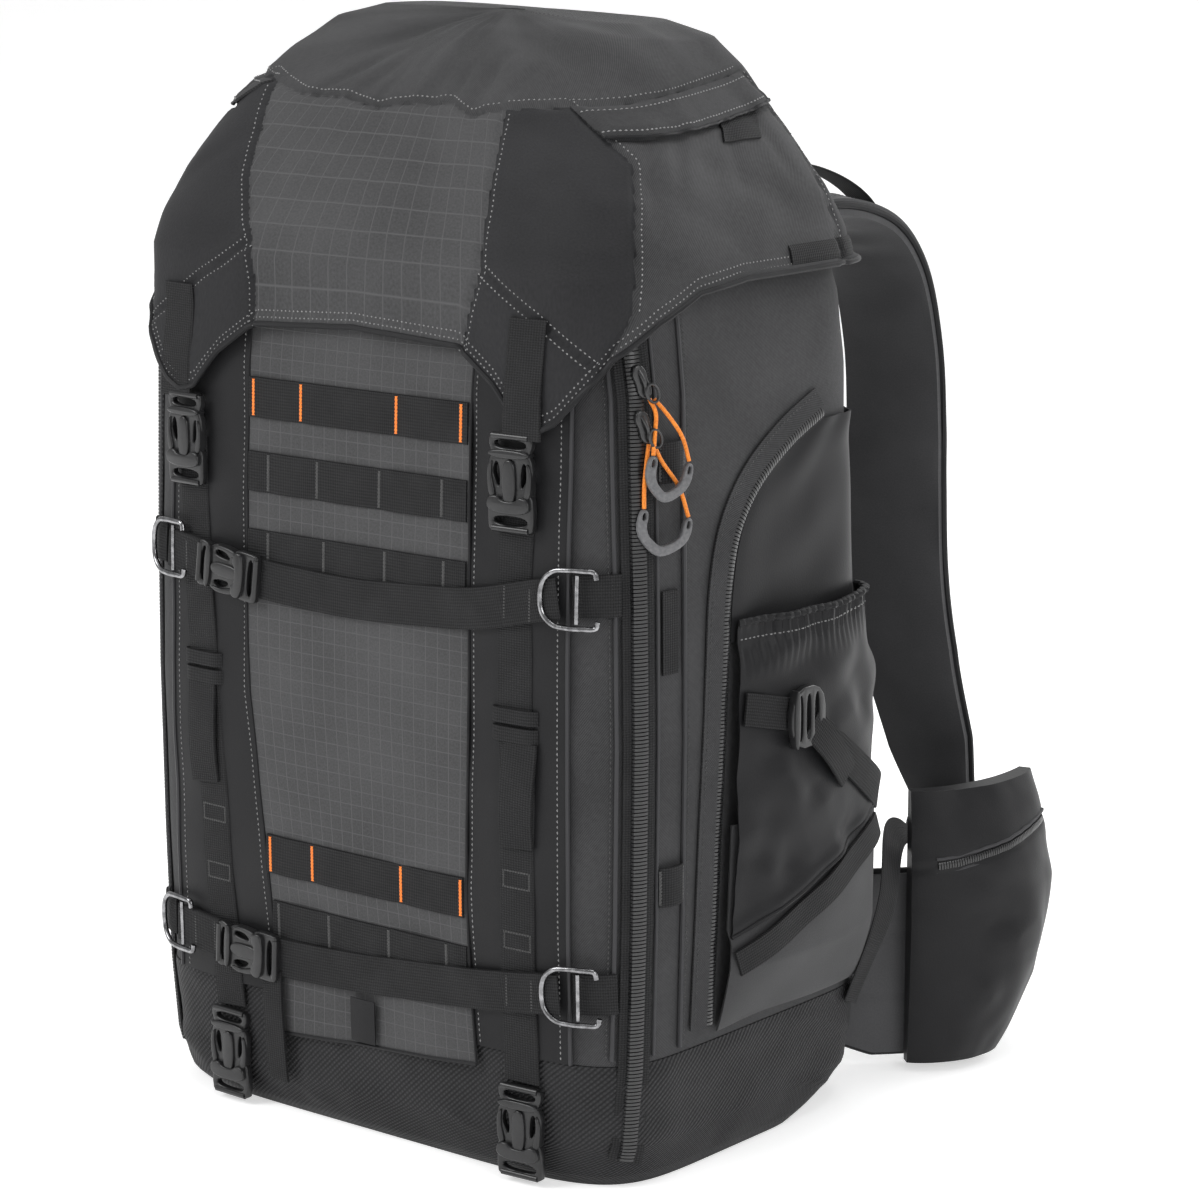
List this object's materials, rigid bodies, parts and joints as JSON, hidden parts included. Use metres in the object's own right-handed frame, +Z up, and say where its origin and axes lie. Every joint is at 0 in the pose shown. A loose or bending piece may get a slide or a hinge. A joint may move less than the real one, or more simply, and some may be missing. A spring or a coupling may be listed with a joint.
{
  "type": "camera backpack",
  "caption": "Tall camera backpack with hooded lid, front webbing and hooks, side pocket, padded shoulder straps and hip belt.",
  "frame": {"origin": "middle of the bag's box at floor level, under its base", "axes": "+X to the wearer's right as seen from the front panel's viewer, +Y towards the harness, +Z up"},
  "size_m": [0.473, 0.4664, 0.6943],
  "materials": {
    "twill_cloth": "fine grey nylon twill, slightly sheened",
    "ripstop_cloth": "grey ripstop nylon with a fine grid",
    "smooth_cloth": "near-black smooth nylon",
    "coarse_boot_cloth": "coarse black ballistic weave",
    "webbing": "black woven webbing",
    "zip_coil": "black coil on woven tape",
    "moulded_plastic": "satin black moulding",
    "hook_steel": "dark polished wire",
    "harness_cloth": "smooth mid-grey stretch cloth on foam",
    "back_mesh": "black air mesh on foam",
    "orange_cord": "braided orange cord",
    "grip_rubber": "mid-grey rubber grip"
  },
  "bodies": {
    "root": {"main_shell": "twill_cloth", "base_boot": "coarse_boot_cloth", "lid": "twill_cloth", "back_panel": "back_mesh", "base_buckle_left": "moulded_plastic", "base_buckle_right": "moulded_plastic", "front_panel": "ripstop_cloth", "front_strap_left": "webbing", "front_strap_right": "webbing", "haul_handle": "webbing", "hip_pocket_left": "smooth_cloth", "hip_pocket_right": "smooth_cloth", "hip_wing_left": "harness_cloth", "hip_wing_right": "harness_cloth", "lid_buckle_left": "moulded_plastic", "lid_buckle_right": "moulded_plastic", "lid_strap_left": "webbing", "lid_strap_right": "webbing", "load_lifter_left": "webbing", "load_lifter_right": "webbing", "lower_anchor_left": "webbing", "lower_anchor_right": "webbing", "lower_cross_buckle": "moulded_plastic", "lower_cross_strap": "webbing", "lower_hook_left": "hook_steel", "lower_hook_right": "hook_steel", "lumbar_pad": "back_mesh", "main_zip_left": "zip_coil", "main_zip_right": "zip_coil", "pull_cord_lower_front": "orange_cord", "pull_cord_lower_rear": "orange_cord", "pull_cord_upper_front": "orange_cord", "pull_cord_upper_rear": "orange_cord", "pull_hoop_lower": "grip_rubber", "pull_hoop_upper": "grip_rubber", "shoulder_lower_strap_left": "webbing", "shoulder_lower_strap_right": "webbing", "shoulder_strap_left": "harness_cloth", "shoulder_strap_right": "harness_cloth", "side_band_left": "smooth_cloth", "side_band_right": "smooth_cloth", "side_ladder_lock_left": "moulded_plastic", "side_ladder_lock_right": "moulded_plastic", "side_pocket_left": "smooth_cloth", "side_pocket_right": "smooth_cloth", "side_strap_left": "webbing", "side_strap_right": "webbing", "side_zip_left": "zip_coil", "side_zip_right": "zip_coil", "upper_anchor_left": "webbing", "upper_anchor_right": "webbing", "upper_cross_buckle": "moulded_plastic", "upper_cross_strap": "webbing", "upper_hook_left": "hook_steel", "upper_hook_right": "hook_steel", "webbing_row_lower": "webbing", "webbing_row_middle": "webbing", "webbing_row_upper": "webbing", "zip_slider_lower": "moulded_plastic", "zip_slider_upper": "moulded_plastic"}
  },
  "joints": []
}
